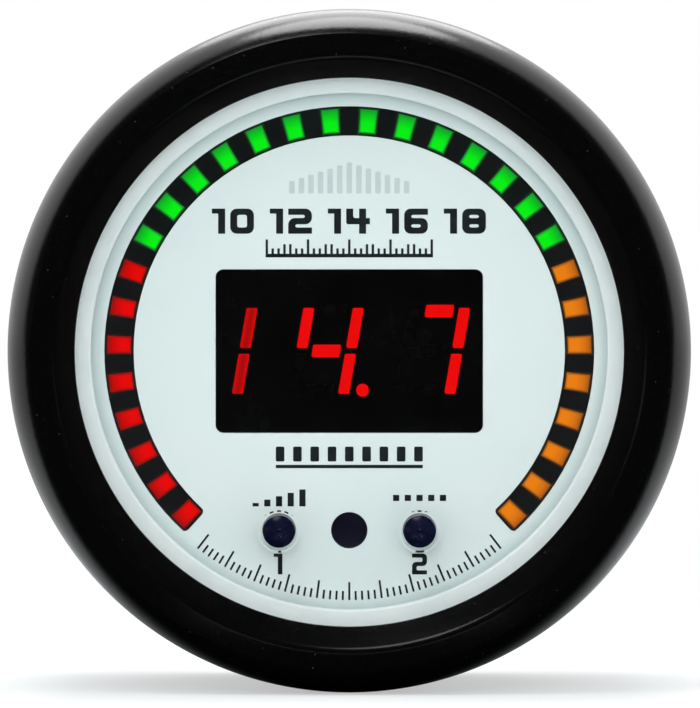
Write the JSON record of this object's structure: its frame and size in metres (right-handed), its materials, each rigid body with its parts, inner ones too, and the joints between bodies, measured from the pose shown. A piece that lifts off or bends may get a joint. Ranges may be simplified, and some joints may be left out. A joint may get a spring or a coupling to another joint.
{
  "type": "air fuel ratio gauge",
  "caption": "Round dash gauge with a white dial, an arc of lights, a digital reading and push buttons, held in a panel hole by a rear clamp.",
  "frame": {"origin": "centre of the case, on the plane of the bezel's back where the panel is clamped", "axes": "+X to the viewer's right, +Y from the dial backwards through the panel, +Z to twelve o'clock; the dial faces -Y"},
  "size_m": [0.0572, 0.0514, 0.0572],
  "materials": {
    "bezel_black": "satin black coat",
    "lens_clear": "clear acrylic",
    "rubber_black": "matt",
    "ring_white": "satin white",
    "dial_white": "printed satin white",
    "bar_black": "matt black",
    "window_green": "diffusing resin",
    "window_amber": "diffusing resin",
    "window_red": "diffusing resin",
    "lamp_resin": "clear resin",
    "display_black": "black face",
    "stroke_lit": "lit red resin",
    "stroke_dark": "unlit smoked resin",
    "sensor_resin": "dark resin",
    "switch_black": "moulded",
    "button_navy": "gloss",
    "spring_steel": "bright",
    "board_green": "solder mask",
    "screw_steel": "bright",
    "spacer_brass": "turned",
    "header_black": "moulded",
    "pin_gold": "plated",
    "chip_black": "moulded",
    "capacitor_sleeve": "shrink sleeve",
    "connector_nylon": "natural nylon",
    "case_black": "moulded, fine texture",
    "zinc_steel": "zinc plated",
    "strip_steel": "zinc plated strip"
  },
  "bodies": {
    "gauge": {"bezel": "bezel_black", "lens": "lens_clear", "lens_gasket": "rubber_black", "spacer_ring": "ring_white", "dial": "dial_white", "light_bar": "bar_black", "green_windows": "window_green", "amber_windows": "window_amber", "red_windows": "window_red", "bar_lamps": "lamp_resin", "display_housing": "display_black", "lit_strokes": "stroke_lit", "dark_strokes": "stroke_dark", "light_sensor": "sensor_resin", "left_switch": "switch_black", "right_switch": "switch_black", "snap_domes": "spring_steel", "front_board": "board_green", "board_screws": "screw_steel", "board_spacers": "spacer_brass", "header_socket": "header_black", "header_base": "header_black", "header_pins": "pin_gold", "power_board": "board_green", "processor": "chip_black", "regulator": "chip_black", "capacitors": "capacitor_sleeve", "rear_connector": "connector_nylon", "connector_pins": "pin_gold", "case": "case_black", "studs": "zinc_steel"},
    "left_key": {"left_button": "button_navy"},
    "right_key": {"right_button": "button_navy"},
    "clamp": {"clamp_bracket": "strip_steel", "washers": "zinc_steel"},
    "left_fixing": {"left_nut": "zinc_steel"},
    "right_fixing": {"right_nut": "zinc_steel"}
  },
  "joints": [
    {"name": "left_button_press", "type": "slide", "parent": "gauge", "child": "left_key", "axis": [0, 1, 0], "range_m": [0, 0.00025], "stiffness_N_per_m": 800},
    {"name": "right_button_press", "type": "slide", "parent": "gauge", "child": "right_key", "axis": [0, 1, 0], "range_m": [0, 0.00025], "stiffness_N_per_m": 800},
    {"name": "clamp_travel", "type": "slide", "parent": "gauge", "child": "clamp", "axis": [0, 1, 0], "range_m": [-0.0021, 0.0049]},
    {"name": "left_nut_turn", "type": "hinge", "parent": "clamp", "child": "left_fixing", "pos_m": [-0.017, 0.0361, 0], "axis": [0, 1, 0], "range_deg": [-1080, 2520]},
    {"name": "right_nut_turn", "type": "hinge", "parent": "clamp", "child": "right_fixing", "pos_m": [0.017, 0.0361, 0], "axis": [0, 1, 0], "range_deg": [-1080, 2520]}
  ],
  "couplings": [
    {"joint": "left_nut_turn", "follows": "clamp_travel", "rad_per_m": 8976},
    {"joint": "right_nut_turn", "follows": "clamp_travel", "rad_per_m": 8976}
  ]
}
